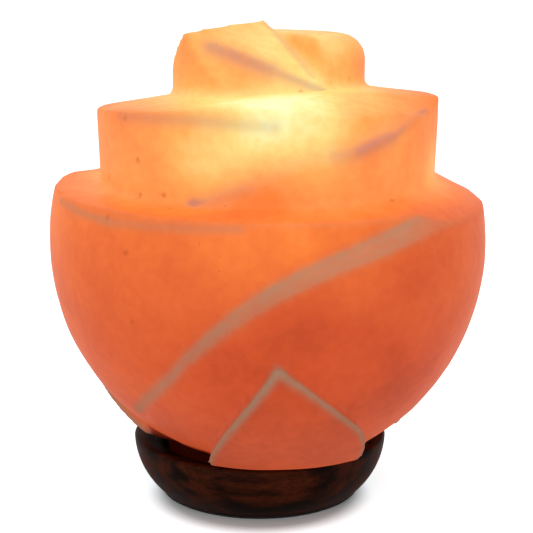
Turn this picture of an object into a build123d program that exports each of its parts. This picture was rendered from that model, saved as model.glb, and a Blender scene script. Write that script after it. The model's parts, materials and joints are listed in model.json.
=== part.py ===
"""Carved rock-salt lamp shaped as a rose, on a turned wooden base.

The stone is one block: two overlapping petal cups make each of its lower tiers, a bud of two
petals closes the top, and three sepals stand out round the foot. A straight bore from below
holds a small screw-cap bulb in a holder, which two spring leaves grip in the bore.

Millimetres. +Z is up, the origin is on the base's axis in the plane that the felt ring stands on,
and the carved front faces -Y. Azimuths are counted from the front, positive towards +X.
"""
import os
from math import cos, radians, sin, sqrt

from build123d import *

# ---------------------------------------------------------------- driving sizes: wooden base
FOOT_T = 0.8                # felt ring under the base
FOOT_R = 35.6
FOOT_INNER_R = 32.0
BASE_BOTTOM_R = 37.4
BASE_TOP_R = 45.0
BASE_TOP_Z = 20.6           # highest point of the turned rim
BASE_BELLY = 1.9            # how far the turned side bulges past a straight taper
RIM_ROUND = 1.2
DISH_R = 35.6               # inner edge of the rim
DISH_EDGE_Z = 18.2
DISH_FLOOR_Z = 14.0
BASE_EDGE_ROUND = 1.5
BORE_R = 22.0               # one straight bore through the base and up into the stone

# ---------------------------------------------------------------- driving sizes: carved stone
STONE_SHIFT_X = 2.4         # the hand-carved stone sits a little off the base's axis
STONE_FOOT_R = 33.0
STONE_UNDERSIDE_Z = 22.5
STONE_FOOT_MERGE = 1.0      # the foot runs this far up into the bowl
BORE_TOP_Z = 112.0
BORE_CONE_H = 9.0           # left by the point of the core drill

CUP_ARC_R = 81.1            # side of the bowl is one arc, turned about the cup's axis
CUP_R = 74.3
CUP_WAIST_Z = 90.0
CUP_TOP_Z = 122.0
CUP_SHIFT = 3.0             # each cup is turned off centre, towards its own side
CUP_SHIFT_AZ = 37.0

DRUM_BOTTOM_R = 55.6
DRUM_TOP_R = 57.4
DRUM_SHIFT = 2.6
DRUM_SHIFT_AZ = 48.0
DRUM_BOTTOM_Z = 100.0
DRUM_TOP_Z = 150.0

# the swept edge of each front petal: (azimuth, height) where it crosses the petal's face
CUP_EDGE = ((-54.0, 33.0), (-30.0, 54.5), (0.0, 85.0), (28.0, 98.5), (62.0, 104.0))
DRUM_EDGE = ((-30.0, 109.0), (-8.0, 117.5), (22.0, 126.0), (50.0, 134.5), (68.0, 140.5))
EDGE_LEAN = (-0.30, 0.80, 0.58)     # direction in which the bevelled edge runs into the stone

# ledges between tiers: circle radius, mean height, rise per mm towards +X and towards +Y
CUP_LEDGE_OUT = (92.0, 103.4, -0.080, 0.010)
CUP_LEDGE_IN = (57.0, 112.6, 0.030, 0.020)
DRUM_LEDGE_OUT = (70.0, 137.2, 0.035, -0.040)
DRUM_LEDGE_IN = (34.0, 142.4, 0.050, -0.040)
# slope that runs from the bud down to the bevel of the upper front petal
VALLEY = ((15.0, -54.0, 139.0), (26.0, -21.0, 146.5), (46.0, -34.0, 137.2))

BUD_R = 32.4
BUD_TOP_Z = 170.0
BUD_LEFT = (-27.4, -17.0, 163.0)    # corners of the sloping facet on the bud's front petal
BUD_PEAK = (-0.5, 8.0, 165.9)
BUD_RIGHT = (20.4, -26.0, 144.6)
BUD_FRONT_FOOT = (-3.0, -32.6, 140.0)
BUD_BACK_FOOT = (-26.0, 22.0, 140.0)
BACK_PETAL_R = 29.6
BACK_PETAL_AT = (4.6, 3.0)
BACK_PETAL_TOP_Z = 161.8
BACK_PETAL_ROUND = 9.0
BACK_PETAL_CUTS = (0, 22, 45, 68, 90)    # the round is carved as flats between these turns

SEPAL_AZ = (9.0, 129.0, -111.0)
SEPAL_PROUD = 5.0           # the sepals stand this far out of the bowl
SEPAL_BOTTOM_Z = 21.2
SEPAL_TIP_Z = 61.5
SEPAL_TIP_TURN = -5.0       # the tip leans back towards -azimuth
SEPAL_LEFT_TURN = -33.0
SEPAL_RIGHT_TURN = 36.0
SEPAL_SIDE_LEAN = 0.35      # how far the sides open out, per mm of depth
SEPAL_BEVEL = 2.6           # bevel along the two upper edges
SEPAL_ROOT_R = 26.0         # the sepal reaches in to a flat this far from the axis
LEDGE_RIM = 0.5             # step between a ledge's cone and the column under it

# ---------------------------------------------------------------- driving sizes: fastenings
SCREW_COUNT = 3
SCREW_RING_R = 27.6
SCREW_HEAD_Z = 2.3          # underside of the sunk heads
SCREW_R = 1.75
SCREW_HEAD_R = 3.6
SCREW_HEAD_H = 2.2
SCREW_LENGTH = 26.0
SCREW_POINT_H = 2.5
SCREW_SLOT_W = 0.9
SCREW_SLOT_D = 0.9
SCREW_CLEARANCE = 0.25      # round the shank in the wood
PLUG_R = 3.0
PLUG_LENGTH = 20.0

# ---------------------------------------------------------------- driving sizes: cord inlet
INLET_Z = 7.8
INLET_BORE_R = 3.1
BUSH_R = 4.5
BUSH_FLANGE_R = 5.6
BUSH_FLANGE_T = 1.4
BUSH_SINK = 1.8             # the spot face lies this deep in the side at mid height
BUSH_LENGTH = 14.0
SPOT_FACE_CLEARANCE = 0.6   # round the flange

# ---------------------------------------------------------------- driving sizes: bulb holder
HOLDER_BOTTOM_Z = 12.5
HOLDER_CAP_R = 13.6
HOLDER_CAP_H = 15.0
HOLDER_WALL = 1.6
HOLDER_FLOOR = 2.0
HOLDER_EDGE_ROUND = 1.2
CORD_HOLE_R = 3.2
SPIGOT_H = 2.0              # the cap's neck inside the sleeve
SLEEVE_R = 14.2
SLEEVE_H = 22.0
SLEEVE_TOP_T = 1.6
SLEEVE_MOUTH_R = 8.6
BLOCK_R = 11.6
BLOCK_H = 5.0
BLOCK_SEAT_W = 1.2          # ledge in the cap that carries the contact block
SHELL_R_IN = 7.05           # contact shell of the 14 mm screw cap
SHELL_WALL = 0.45
SHELL_H = 15.0
SHELL_FLANGE_R = 9.4
SHELL_FLANGE_T = 0.6
TERMINAL_W = 4.4
TERMINAL_D = 6.4
TERMINAL_H = 6.0
TERMINAL_X = 5.6
TERMINAL_SCREW_R = 1.2
TERMINAL_SCREW_L = 5.2
TERMINAL_SCREW_OUT = 1.6    # how far the screws stand out of their terminals
WIRE_HOLE_R = 1.0
WIRE_HOLE_DEPTH = 4.0
TONGUE_W = 4.0
TONGUE_T = 0.5
TONGUE_RISE = 2.4
TONGUE_REACH = 5.5
TONGUE_BEND = 2.0

COLLAR_T = 0.7
COLLAR_H = 6.0
COLLAR_BELOW_TOP = 4.0
LEAF_T = 0.6
LEAF_W = 8.0
LEAF_ABOVE_RIVET = 2.2
LEAF_BOW_DROP = 11.0        # from the rivet down to the bow
LEAF_BOW_FLAT = 3.0
LEAF_DROP = 19.0            # from the rivet down to the tip
LEAF_BOW_AIR = 0.3          # between the leaf's bow and the bore
LEAF_TIP_IN = 3.2
LEAF_GAP = 0.35             # between the leaf and the collar or the rivet's head
RIVET_R = 1.3
RIVET_HEAD_R = 2.1
RIVET_HEAD_T = 0.7

# ---------------------------------------------------------------- driving sizes: bulb
TIP_CLEARANCE = 0.3         # between the bulb's tip contact and the tongue
BULB_CAP_R = 6.97
BULB_CAP_H = 17.0
BULB_CAP_T = 0.4
BULB_TIP_R = 2.3
BULB_TIP_H = 1.4
BULB_BUTTON_R = 3.4
BULB_BUTTON_H = 2.2
BUTTON_IN_CAP = 1.5
GLASS_NECK_R = 6.2
GLASS_NECK_IN_CAP = 3.5
# outline of the pear: (radius, height above the neck's foot)
GLASS_PROFILE = ((GLASS_NECK_R, 0.0), (GLASS_NECK_R, 7.0), (10.4, 15.5), (12.6, 21.0), (13.0, 26.0),
                 (12.4, 32.0), (9.8, 38.0), (5.2, 42.0), (0.0, 43.0))
GLASS_T = 0.8
STEM_R = 2.4
STEM_FLARE_H = 6.0
STEM_FLOOR_T = 1.0
STEM_H = 19.0
LEAD_R = 0.4
LEAD_ROOT_X = 1.4
LEAD_SPREAD = 6.5
LEAD_RISE = 14.0
LEAD_HOOK = 4.0
COIL_WIRE_R = 0.22
FOLDS = 6
FOLD_DROP = 2.6

# heights and seats that follow from the sizes above
BUSH_SEAT_Y = (BASE_BOTTOM_R + BASE_TOP_R) / 2 - BUSH_SINK
HOLDER_JOINT_Z = HOLDER_BOTTOM_Z + HOLDER_CAP_H
BLOCK_TOP_Z = HOLDER_JOINT_Z + SPIGOT_H
BLOCK_BOTTOM_Z = BLOCK_TOP_Z - BLOCK_H
SLEEVE_TOP_Z = HOLDER_JOINT_Z + SLEEVE_H
COLLAR_TOP_Z = SLEEVE_TOP_Z - COLLAR_BELOW_TOP
RIVET_Z = COLLAR_TOP_Z - COLLAR_H / 2
BULB_TIP_Z = BLOCK_TOP_Z + TONGUE_RISE + TIP_CLEARANCE
BULB_CAP_Z = BULB_TIP_Z + BULB_TIP_H + BULB_BUTTON_H
GLASS_Z = BULB_CAP_Z + BULB_CAP_H - GLASS_NECK_IN_CAP
STEM_TOP_Z = GLASS_Z + STEM_H
COIL_Z = STEM_TOP_Z + LEAD_RISE

FRONT = -90.0               # direction of azimuth 0, counted from +X
FAR = 400.0                 # larger than the object, for cutting blocks


def radial(azimuth, radius, z=0.0):
    """Point at an azimuth from the front, a radius from the axis and a height."""
    angle = radians(FRONT + azimuth)
    return Vector(radius * cos(angle), radius * sin(angle), z)


def turned(*edges):
    """Solid turned about Z from the edges of a closed outline in the XZ plane."""
    return revolve(make_face(Wire(Curve() + list(edges)).edges()), Axis.Z)


def turned_polygon(*points):
    """Solid turned about Z from straight (radius, height) corners."""
    outline = Polyline(*[(r, 0, z) for r, z in points], close=True)
    return revolve(make_face(outline.edges()), Axis.Z)


def tube(outer_r, inner_r, z_low, z_high):
    """Plain ring between two heights."""
    return turned_polygon((inner_r, z_low), (outer_r, z_low), (outer_r, z_high), (inner_r, z_high))


def disc(radius, z_low, z_high):
    """Plain disc between two heights."""
    return Pos(0, 0, (z_low + z_high) / 2) * Cylinder(radius, z_high - z_low)


def block_beyond(a, b, c, outside):
    """Large block that fills the side of the plane a-b-c on which the point outside lies."""
    a, b, c, outside = Vector(*a), Vector(*b), Vector(*c), Vector(*outside)
    normal = (b - a).cross(c - a).normalized()
    if normal.dot(outside - a) < 0:
        normal = normal * -1
    return Plane(origin=a, z_dir=normal) * Pos(0, 0, FAR / 2) * Box(FAR, FAR, FAR)


# ---------------------------------------------------------------- carved stone
def cup_radius(z, proud=0.0):
    """Radius of the bowl's side about its cup's own axis at a height."""
    arc = CUP_ARC_R + proud
    return CUP_R - CUP_ARC_R + sqrt(max(arc ** 2 - (z - CUP_WAIST_Z) ** 2, 0.0))


def drum_radius(z):
    """Radius of the middle tier's side about its own axis at a height."""
    share = (z - DRUM_BOTTOM_Z) / (DRUM_TOP_Z - DRUM_BOTTOM_Z)
    return DRUM_BOTTOM_R + share * (DRUM_TOP_R - DRUM_BOTTOM_R)


def bowl(z_low, proud=0.0):
    """Turned bowl from a height up to the top of the cups."""
    low, high = cup_radius(z_low, proud), cup_radius(CUP_TOP_Z, proud)
    waist = CUP_R + proud
    side = ThreePointArc((low, 0, z_low), (waist, 0, CUP_WAIST_Z), (high, 0, CUP_TOP_Z))
    rest = Polyline((high, 0, CUP_TOP_Z), (0, 0, CUP_TOP_Z), (0, 0, z_low), (low, 0, z_low))
    return turned(side, *rest.edges())


def edge_cutter(edge, shift, radius_at):
    """Sheared prism over a petal's swept edge; its lower face becomes the edge's bevel."""
    lean = Vector(*EDGE_LEAN)
    start_y = -CUP_R - 4 * CUP_SHIFT
    path = []
    for azimuth, z in edge:
        on_face = shift + radial(azimuth, radius_at(z), z)
        path.append(on_face - lean * ((on_face.Y - start_y) / lean.Y))
    first, last = path[0], path[-1]
    before = first + (first - path[1]) * 2
    after = last + (last - path[-2]) * 2
    top_z = FAR / 2
    outline = Curve() + [Polyline(before, first), Spline(*path), Polyline(last, after)]
    outline += Polyline(after, (after.X, start_y, top_z), (before.X - FAR, start_y, top_z),
                        (before.X - FAR, start_y, before.Z), before)
    face = make_face(outline.edges())
    depth = (-start_y + CUP_SHIFT) / lean.Y
    return extrude(face, amount=depth, dir=lean)


def petal_pair(body, shift_r, shift_az, edge, radius_at):
    """Two petals of one tier: a front one with its swept edge, and its half-turn twin."""
    shift = radial(shift_az, shift_r)
    front = Pos(shift) * body - edge_cutter(edge, shift, radius_at)
    return front + Rot(0, 0, 180) * front


def leaning_circle(radius, height, rise_x, rise_y):
    """Circle in a plane that rises by rise_x and rise_y per mm."""
    plane = Plane(origin=(0, 0, height), x_dir=(1, 0, rise_x), z_dir=(-rise_x, -rise_y, 1))
    return Wire(plane * Edge.make_circle(radius))


def under_ledge(outer, inner):
    """Everything below the sloping ledge that runs from an outer to an inner circle."""
    slope = Solid.make_loft([leaning_circle(*outer), leaning_circle(*inner)], ruled=True)
    out_r, out_z = outer[0], outer[1]
    drop = block_beyond((0, 0, out_z), (1, 0, out_z + outer[2]), (0, 1, out_z + outer[3]), (0, 0, FAR))
    return slope + (disc(out_r - LEDGE_RIM, 0, out_z + out_r / 4) - drop)


def sepal(azimuth):
    """One pointed sepal: a slice of a fatter bowl between two bevelled sides."""
    def on_face(turn, z):
        return radial(azimuth + turn, cup_radius(z, SEPAL_PROUD), z)

    tip = on_face(SEPAL_TIP_TURN, SEPAL_TIP_Z)
    root = radial(azimuth, SEPAL_ROOT_R)
    body = bowl(SEPAL_BOTTOM_Z, SEPAL_PROUD)
    body &= block_beyond(root, root + (0, 0, 1), root + radial(azimuth + 90, 1), radial(azimuth, FAR))
    sides = []
    for turn, outward in ((SEPAL_LEFT_TURN, -1), (SEPAL_RIGHT_TURN, 1)):
        corner = on_face(turn, SEPAL_BOTTOM_Z)
        middle = (tip + corner) * 0.5
        inward = Vector(-middle.X, -middle.Y, 0).normalized()
        across = (corner - tip).normalized().cross(inward) * outward
        deeper = middle + inward + across * SEPAL_SIDE_LEAN
        body -= block_beyond(tip, corner, deeper, middle + across * FAR)
        sides.append(middle)
    upper = [body.edges().sort_by_distance(point)[0] for point in sides]
    return chamfer(upper, SEPAL_BEVEL)


def bud():
    """Front petal of the bud with its sloping facet, and the round-topped petal behind it."""
    front = disc(BUD_R, DRUM_BOTTOM_Z, BUD_TOP_Z)
    front -= block_beyond(BUD_LEFT, BUD_PEAK, BUD_RIGHT, (0, 0, FAR))
    front -= block_beyond(BUD_LEFT, BUD_RIGHT, BUD_FRONT_FOOT, (0, -FAR, DRUM_TOP_Z))
    front -= block_beyond(BUD_LEFT, BUD_PEAK, BUD_BACK_FOOT, (0, FAR, DRUM_TOP_Z))
    below = (BUD_PEAK[0], BUD_PEAK[1], 0)
    beyond = block_beyond(BUD_PEAK, BUD_RIGHT, below, (FAR, FAR / 2, 0))
    corners = [(BACK_PETAL_R - BACK_PETAL_ROUND * (1 - cos(radians(turn))),
                BACK_PETAL_TOP_Z - BACK_PETAL_ROUND * (1 - sin(radians(turn))))
               for turn in BACK_PETAL_CUTS]
    back = turned_polygon((0, DRUM_BOTTOM_Z), (BACK_PETAL_R, DRUM_BOTTOM_Z), *corners,
                          (0, BACK_PETAL_TOP_Z))
    return (front - beyond) + (Pos(*BACK_PETAL_AT) * back & beyond)


def make_salt_rose():
    """The whole carved stone with its bore, foot and plug holes."""
    lower = petal_pair(bowl(STONE_UNDERSIDE_Z), CUP_SHIFT, CUP_SHIFT_AZ, CUP_EDGE, cup_radius)
    lower &= under_ledge(CUP_LEDGE_OUT, CUP_LEDGE_IN)
    drum = turned_polygon((0, DRUM_BOTTOM_Z), (DRUM_BOTTOM_R, DRUM_BOTTOM_Z),
                          (DRUM_TOP_R, DRUM_TOP_Z), (0, DRUM_TOP_Z))
    middle = petal_pair(drum, DRUM_SHIFT, DRUM_SHIFT_AZ, DRUM_EDGE, drum_radius)
    middle &= under_ledge(DRUM_LEDGE_OUT, DRUM_LEDGE_IN)
    middle -= block_beyond(*VALLEY, (0, 0, FAR))
    sepals = [Pos(radial(CUP_SHIFT_AZ, CUP_SHIFT)) * sepal(az) for az in SEPAL_AZ]
    stone = lower + middle + bud()
    for one in sepals:
        stone += one & disc(FAR, SEPAL_BOTTOM_Z, CUP_WAIST_Z)
    stone = Pos(STONE_SHIFT_X, 0, 0) * stone
    stone += disc(STONE_FOOT_R, DISH_FLOOR_Z, STONE_UNDERSIDE_Z + STONE_FOOT_MERGE)
    stone -= turned_polygon((0, 0), (BORE_R, 0), (BORE_R, BORE_TOP_Z), (0, BORE_TOP_Z + BORE_CONE_H))
    for hole in PolarLocations(SCREW_RING_R, SCREW_COUNT, FRONT):
        stone -= hole * disc(PLUG_R, DISH_FLOOR_Z, DISH_FLOOR_Z + PLUG_LENGTH)
    return stone


def make_wood_base():
    """Turned base: dished top, one straight bore, sunk screw holes and the cord's way out."""
    low, rim = FOOT_T, BASE_TOP_Z - RIM_ROUND
    foot_r, foot_z = BASE_BOTTOM_R - BASE_EDGE_ROUND, low + BASE_EDGE_ROUND
    belly = ((BASE_BOTTOM_R + BASE_TOP_R) / 2 + BASE_BELLY, 0, (foot_z + rim) / 2)
    side = ThreePointArc((BASE_BOTTOM_R, 0, foot_z), belly, (BASE_TOP_R, 0, rim))
    rest = Polyline((BASE_TOP_R, 0, rim), (BASE_TOP_R - RIM_ROUND / 3, 0, BASE_TOP_Z - RIM_ROUND / 3),
                    (BASE_TOP_R - RIM_ROUND, 0, BASE_TOP_Z), (DISH_R, 0, DISH_EDGE_Z),
                    (DISH_R, 0, DISH_FLOOR_Z), (BORE_R, 0, DISH_FLOOR_Z), (BORE_R, 0, low),
                    (foot_r, 0, low), (BASE_BOTTOM_R, 0, foot_z))
    base = turned(side, *rest.edges())
    for hole in PolarLocations(SCREW_RING_R, SCREW_COUNT, FRONT):
        base -= hole * disc(SCREW_R + SCREW_CLEARANCE, low, DISH_FLOOR_Z)
        base -= hole * disc(SCREW_HEAD_R, low, SCREW_HEAD_Z)
        base -= hole * screw_head()
    inlet = Pos(0, BUSH_SEAT_Y, INLET_Z) * Rot(90, 0, 0)
    base -= inlet * disc(BUSH_R, 0, BUSH_SEAT_Y - BORE_R / 2)
    base -= inlet * disc(BUSH_FLANGE_R + SPOT_FACE_CLEARANCE, -BASE_TOP_R / 4, 0)
    return base


def screw_head():
    """Countersunk head, widest at its lower face."""
    top = SCREW_HEAD_Z + SCREW_HEAD_H
    return turned_polygon((0, SCREW_HEAD_Z), (SCREW_HEAD_R, SCREW_HEAD_Z), (SCREW_R, top), (0, top))


def make_base_screws():
    """The screws that hold the base to the stone, driven from below."""
    end = SCREW_HEAD_Z + SCREW_LENGTH
    screw = screw_head() + turned_polygon((0, SCREW_HEAD_Z), (SCREW_R, SCREW_HEAD_Z),
                                          (SCREW_R, end - SCREW_POINT_H), (0, end))
    slot = Box(2 * SCREW_HEAD_R, SCREW_SLOT_W, SCREW_SLOT_D)
    screw -= Pos(0, 0, SCREW_HEAD_Z + SCREW_SLOT_D / 2) * slot
    return Compound([hole * screw for hole in PolarLocations(SCREW_RING_R, SCREW_COUNT, FRONT)])


def make_wall_plugs():
    """Plugs in the stone, one round each screw."""
    plug = tube(PLUG_R, SCREW_R, DISH_FLOOR_Z, DISH_FLOOR_Z + PLUG_LENGTH)
    return Compound([hole * plug for hole in PolarLocations(SCREW_RING_R, SCREW_COUNT, FRONT)])


def make_cord_bush():
    """Flanged bush through the back of the base."""
    bush = turned_polygon((INLET_BORE_R, -BUSH_FLANGE_T), (BUSH_FLANGE_R, -BUSH_FLANGE_T),
                          (BUSH_FLANGE_R, 0), (BUSH_R, 0), (BUSH_R, BUSH_LENGTH - BUSH_FLANGE_T),
                          (INLET_BORE_R, BUSH_LENGTH - BUSH_FLANGE_T))
    return Pos(0, BUSH_SEAT_Y, INLET_Z) * Rot(90, 0, 0) * bush


def make_holder_cap():
    """Lower half of the bulb holder, with a seat for the contact block."""
    wall_r, seat_r = HOLDER_CAP_R - HOLDER_WALL, HOLDER_CAP_R - HOLDER_WALL - BLOCK_SEAT_W
    low, spigot_r = HOLDER_BOTTOM_Z, SLEEVE_R - HOLDER_WALL
    cap = turned_polygon((CORD_HOLE_R, low), (HOLDER_CAP_R - HOLDER_EDGE_ROUND, low),
                         (HOLDER_CAP_R, low + HOLDER_EDGE_ROUND), (HOLDER_CAP_R, HOLDER_JOINT_Z),
                         (spigot_r, HOLDER_JOINT_Z), (spigot_r, BLOCK_TOP_Z), (wall_r, BLOCK_TOP_Z),
                         (wall_r, BLOCK_BOTTOM_Z), (seat_r, BLOCK_BOTTOM_Z),
                         (seat_r, low + HOLDER_FLOOR), (CORD_HOLE_R, low + HOLDER_FLOOR))
    return cap


def make_holder_sleeve():
    """Upper half of the bulb holder, closed in at the top round the bulb's cap."""
    inner_r, under = SLEEVE_R - HOLDER_WALL, SLEEVE_TOP_Z - SLEEVE_TOP_T
    return turned_polygon((inner_r, HOLDER_JOINT_Z), (SLEEVE_R, HOLDER_JOINT_Z),
                          (SLEEVE_R, SLEEVE_TOP_Z - HOLDER_EDGE_ROUND),
                          (SLEEVE_R - HOLDER_EDGE_ROUND, SLEEVE_TOP_Z),
                          (SLEEVE_MOUTH_R, SLEEVE_TOP_Z), (SLEEVE_MOUTH_R, under), (inner_r, under))


def make_thread_shell():
    """Metal shell that takes the bulb's screw cap, with its foot flange."""
    outer_r = SHELL_R_IN + SHELL_WALL
    foot = BLOCK_TOP_Z + SHELL_FLANGE_T
    return turned_polygon((SHELL_R_IN, BLOCK_TOP_Z), (SHELL_FLANGE_R, BLOCK_TOP_Z),
                          (SHELL_FLANGE_R, foot), (outer_r, foot), (outer_r, BLOCK_TOP_Z + SHELL_H),
                          (SHELL_R_IN, BLOCK_TOP_Z + SHELL_H))


def make_centre_contact():
    """Sprung tongue under the bulb's tip: foot, slope and flat end."""
    low, high, end = BLOCK_TOP_Z, BLOCK_TOP_Z + TONGUE_RISE, BULB_TIP_R
    bend, knee = TONGUE_BEND - TONGUE_REACH, -TONGUE_BEND / 2
    outline = Polyline((-TONGUE_REACH, 0, low), (bend, 0, low), (knee, 0, high - TONGUE_T),
                       (end, 0, high - TONGUE_T), (end, 0, high), (knee - TONGUE_T / 2, 0, high),
                       (bend - TONGUE_T / 2, 0, low + TONGUE_T), (-TONGUE_REACH, 0, low + TONGUE_T),
                       close=True)
    return extrude(make_face(outline.edges()), amount=TONGUE_W / 2, both=True)


def terminal_screw():
    """Cheese-head wire screw along +Y, its tip at the origin."""
    return Rot(90, 0, 0) * disc(TERMINAL_SCREW_R, 0, TERMINAL_SCREW_L)


def make_terminal(side):
    """Brass terminal block under the contact block, on the side given by the sign."""
    middle_z = BLOCK_BOTTOM_Z - TERMINAL_H / 2
    block = Pos(side * TERMINAL_X, 0, middle_z) * Box(TERMINAL_W, TERMINAL_D, TERMINAL_H)
    wire = disc(WIRE_HOLE_R, middle_z - TERMINAL_H / 2, middle_z - TERMINAL_H / 2 + WIRE_HOLE_DEPTH)
    block -= Pos(side * TERMINAL_X, TERMINAL_D / 2 - 2 * WIRE_HOLE_R, 0) * wire
    return block - terminal_screw_place(side) * terminal_screw()


def terminal_screw_place(side):
    """Where a terminal's screw ends, with its outer end clear of the terminal."""
    end_y = TERMINAL_SCREW_L - TERMINAL_D / 2 - TERMINAL_SCREW_OUT
    return Pos(side * TERMINAL_X, end_y, BLOCK_BOTTOM_Z - TERMINAL_H / 2)


def make_terminal_screws():
    """Both wire screws."""
    return Compound([terminal_screw_place(side) * terminal_screw() for side in (-1, 1)])


def rivet_place(side):
    """Plane of a rivet: at the collar's outer face, X pointing out of the holder."""
    turn = 0 if side > 0 else 180
    return Rot(0, 0, turn) * Pos(SLEEVE_R + COLLAR_T, 0, RIVET_Z)


def make_clip_rivets():
    """Headed rivets that carry the two spring leaves."""
    root = -COLLAR_T / 2
    head = 2 * LEAF_GAP + LEAF_T
    turn = Rot(0, 90, 0)
    rivet = turn * (disc(RIVET_R, root, head) + disc(RIVET_HEAD_R, head, head + RIVET_HEAD_T))
    return Compound([rivet_place(side) * rivet for side in (-1, 1)])


def make_clip_collar():
    """Steel band clamped round the holder."""
    band = tube(SLEEVE_R + COLLAR_T, SLEEVE_R, COLLAR_TOP_Z - COLLAR_H, COLLAR_TOP_Z)
    return band - make_clip_rivets()


def make_spring_clip(side):
    """Spring leaf: flat under its rivet, bowed out to the bore, turned in at the tip."""
    chord_x = sqrt(BORE_R ** 2 - (LEAF_W / 2) ** 2)
    bow_x = chord_x - LEAF_BOW_AIR - LEAF_T - SLEEVE_R - COLLAR_T
    inner = [(LEAF_GAP, LEAF_ABOVE_RIVET), (LEAF_GAP, -LEAF_ABOVE_RIVET),
             (bow_x, LEAF_BOW_FLAT / 2 - LEAF_BOW_DROP), (bow_x, -LEAF_BOW_FLAT / 2 - LEAF_BOW_DROP),
             (bow_x - LEAF_TIP_IN, -LEAF_DROP)]
    outline = inner + [(x + LEAF_T, z) for x, z in reversed(inner)]
    strip = make_face(Polyline(*[(x, 0, z) for x, z in outline], close=True).edges())
    leaf = extrude(strip, amount=LEAF_W / 2, both=True)
    leaf -= Rot(0, 90, 0) * disc(RIVET_R + LEAF_GAP, 0, LEAF_GAP + 2 * LEAF_T)
    return rivet_place(side) * leaf


def make_bulb_cap():
    """Screw cap of the bulb: thin shell open at both ends."""
    return tube(BULB_CAP_R, BULB_CAP_R - BULB_CAP_T, BULB_CAP_Z, BULB_CAP_Z + BULB_CAP_H)


def make_bulb_insulator():
    """Cone of insulating glass between the cap and its tip contact."""
    inner_r = BULB_CAP_R - BULB_CAP_T
    low, top = BULB_CAP_Z - BULB_BUTTON_H, BULB_CAP_Z + BUTTON_IN_CAP
    return turned_polygon((0, low), (BULB_BUTTON_R, low), (inner_r, BULB_CAP_Z), (inner_r, top),
                          (0, top))


def make_bulb_tip():
    """Tip contact of the bulb."""
    return chamfer(disc(BULB_TIP_R, BULB_TIP_Z, BULB_TIP_Z + BULB_TIP_H)
                   .edges().group_by(Axis.Z)[0], BULB_TIP_H / 3)


def make_bulb_glass():
    """Hollow envelope of the bulb: straight neck, then a pear."""
    top = GLASS_PROFILE[-1][1]
    outer = [(r, GLASS_Z + h) for r, h in GLASS_PROFILE]
    inner = [(max(r - GLASS_T, 0), GLASS_Z + h - GLASS_T * h / top) for r, h in GLASS_PROFILE]
    return turned_polygon(*outer, *reversed(inner))


def make_bulb_stem():
    """Glass stem that closes the neck and carries the lead wires."""
    neck_r = GLASS_NECK_R - GLASS_T
    return turned_polygon((0, GLASS_Z), (neck_r, GLASS_Z), (neck_r, GLASS_Z + STEM_FLOOR_T),
                          (STEM_R, GLASS_Z + STEM_FLARE_H), (STEM_R, STEM_TOP_Z), (0, STEM_TOP_Z))


def make_lead_wire(side):
    """Lead from the stem's top: a spread-out length, then an upright hook for the filament."""
    foot = Vector(side * LEAD_ROOT_X, 0, STEM_TOP_Z)
    knee = Vector(side * LEAD_SPREAD, 0, COIL_Z - LEAD_HOOK)
    path = Polyline(foot, knee, (side * LEAD_SPREAD, 0, COIL_Z))
    section = Plane(origin=foot, z_dir=knee - foot) * Circle(LEAD_R)
    wire = sweep(section, path, transition=Transition.RIGHT)
    return wire & disc(FAR, STEM_TOP_Z, COIL_Z)


def make_filament():
    """Folded filament slung between the two leads."""
    half = LEAD_SPREAD - LEAD_R
    level = COIL_Z - LEAD_R
    folds = [(-half + 2 * half * i / FOLDS, 0, level - (FOLD_DROP if i % 2 else 0))
             for i in range(FOLDS + 1)]
    path = Polyline(*folds)
    section = Plane(origin=folds[0], z_dir=Vector(*folds[1]) - Vector(*folds[0])) * Circle(COIL_WIRE_R)
    wire = sweep(section, path, transition=Transition.RIGHT)
    return wire & Pos(0, 0, level) * Box(2 * half, 2 * half, 2 * half)


def make_all():
    """Every piece of the lamp, keyed by its node name."""
    pieces = {"salt_rose": make_salt_rose(), "wood_base": make_wood_base(),
              "base_screws": make_base_screws(), "wall_plugs": make_wall_plugs(),
              "cord_bush": make_cord_bush(), "foot_ring": tube(FOOT_R, FOOT_INNER_R, 0, FOOT_T)}
    pieces.update({"holder_cap": make_holder_cap(), "holder_sleeve": make_holder_sleeve(),
                   "contact_block": disc(BLOCK_R, BLOCK_BOTTOM_Z, BLOCK_TOP_Z),
                   "thread_shell": make_thread_shell(), "centre_contact": make_centre_contact(),
                   "terminal_screws": make_terminal_screws(), "clip_collar": make_clip_collar(),
                   "clip_rivets": make_clip_rivets()})
    pieces.update({"bulb_cap": make_bulb_cap(), "bulb_insulator": make_bulb_insulator(),
                   "bulb_tip": make_bulb_tip(), "bulb_glass": make_bulb_glass(),
                   "bulb_stem": make_bulb_stem(), "filament": make_filament()})
    for name, side in (("left", -1), ("right", 1)):
        pieces["terminal_" + name] = make_terminal(side)
        pieces["spring_clip_" + name] = make_spring_clip(side)
        pieces["lead_wire_" + name] = make_lead_wire(side)
    return pieces


if __name__ == "__main__":
    os.makedirs("parts", exist_ok=True)
    for node, piece in make_all().items():
        export_step(piece, f"parts/{node}.step")
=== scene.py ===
"""Render scene of a rock-salt lamp carved as a rose, on a turned wooden base.

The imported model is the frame. The stone is rebuilt as a fine, worn and slightly uneven skin over
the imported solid, and the light that reaches each point of it through the salt is worked out once
and stored on the mesh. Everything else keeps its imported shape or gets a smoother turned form.
Metres throughout, with MM to write millimetres.
"""
from __future__ import annotations

import json
import logging
import math
from dataclasses import dataclass, field
from enum import Enum

import bmesh
import bpy
import numpy as np
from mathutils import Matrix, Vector, noise
from mathutils.bvhtree import BVHTree
from mathutils.kdtree import KDTree


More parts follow.
